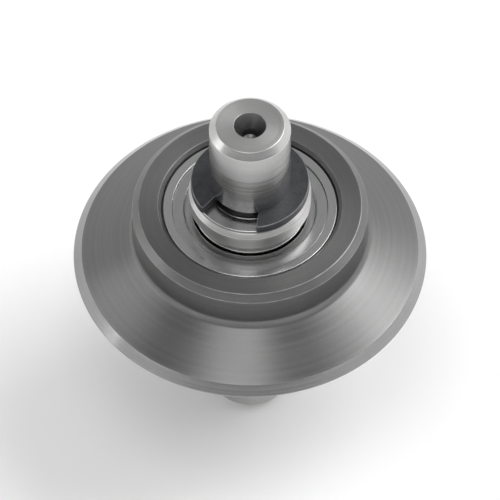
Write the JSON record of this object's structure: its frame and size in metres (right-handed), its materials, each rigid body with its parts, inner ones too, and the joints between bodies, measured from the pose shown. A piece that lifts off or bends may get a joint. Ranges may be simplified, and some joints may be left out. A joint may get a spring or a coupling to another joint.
{
  "type": "tile cutter wheel",
  "caption": "Scoring wheel with a wide V-shaped rim, running on shielded ball bearings on a grooved axle with free ends, kept by collars, shims and clips.",
  "frame": {"origin": "centre of the wheel, on its axis", "axes": "+Z along the axle, towards its upper free end; the part stands on the lower end"},
  "size_m": [0.022, 0.022, 0.026],
  "materials": {
    "carbide": "finely ground tungsten carbide, plain grey",
    "ground_steel": "centreless ground steel",
    "bearing_steel": "superfinished bearing steel",
    "turned_steel": "fine turned steel",
    "sheet_steel": "pressed bright sheet steel",
    "spring_steel": "dark phosphated spring steel",
    "cage_brass": "plain brass"
  },
  "bodies": {
    "axle": {"axle_pin": "ground_steel", "bearing_spacer": "turned_steel", "upper_inner_ring": "bearing_steel", "lower_inner_ring": "bearing_steel", "upper_collar": "turned_steel", "lower_collar": "turned_steel", "upper_shim_washer": "sheet_steel", "lower_shim_washer": "sheet_steel", "upper_retaining_clip": "spring_steel", "lower_retaining_clip": "spring_steel"},
    "wheel": {"cutting_wheel": "carbide", "upper_outer_ring": "bearing_steel", "lower_outer_ring": "bearing_steel", "upper_outside_shield": "sheet_steel", "upper_inside_shield": "sheet_steel", "lower_outside_shield": "sheet_steel", "lower_inside_shield": "sheet_steel"},
    "upper_ball_set": {"upper_cage": "cage_brass", "upper_balls": "bearing_steel"},
    "lower_ball_set": {"lower_cage": "cage_brass", "lower_balls": "bearing_steel"}
  },
  "joints": [
    {"name": "wheel_spin", "type": "hinge", "parent": "axle", "child": "wheel", "pos_m": [0, 0, 0], "axis": [0, 0, 1], "continuous": true},
    {"name": "upper_cage_spin", "type": "hinge", "parent": "axle", "child": "upper_ball_set", "pos_m": [0, 0, 0.0028], "axis": [0, 0, 1], "continuous": true},
    {"name": "lower_cage_spin", "type": "hinge", "parent": "axle", "child": "lower_ball_set", "pos_m": [0, 0, -0.0028], "axis": [0, 0, 1], "continuous": true}
  ],
  "couplings": [
    {"joint": "upper_cage_spin", "follows": "wheel_spin", "ratio": 0.6},
    {"joint": "lower_cage_spin", "follows": "wheel_spin", "ratio": 0.6}
  ]
}
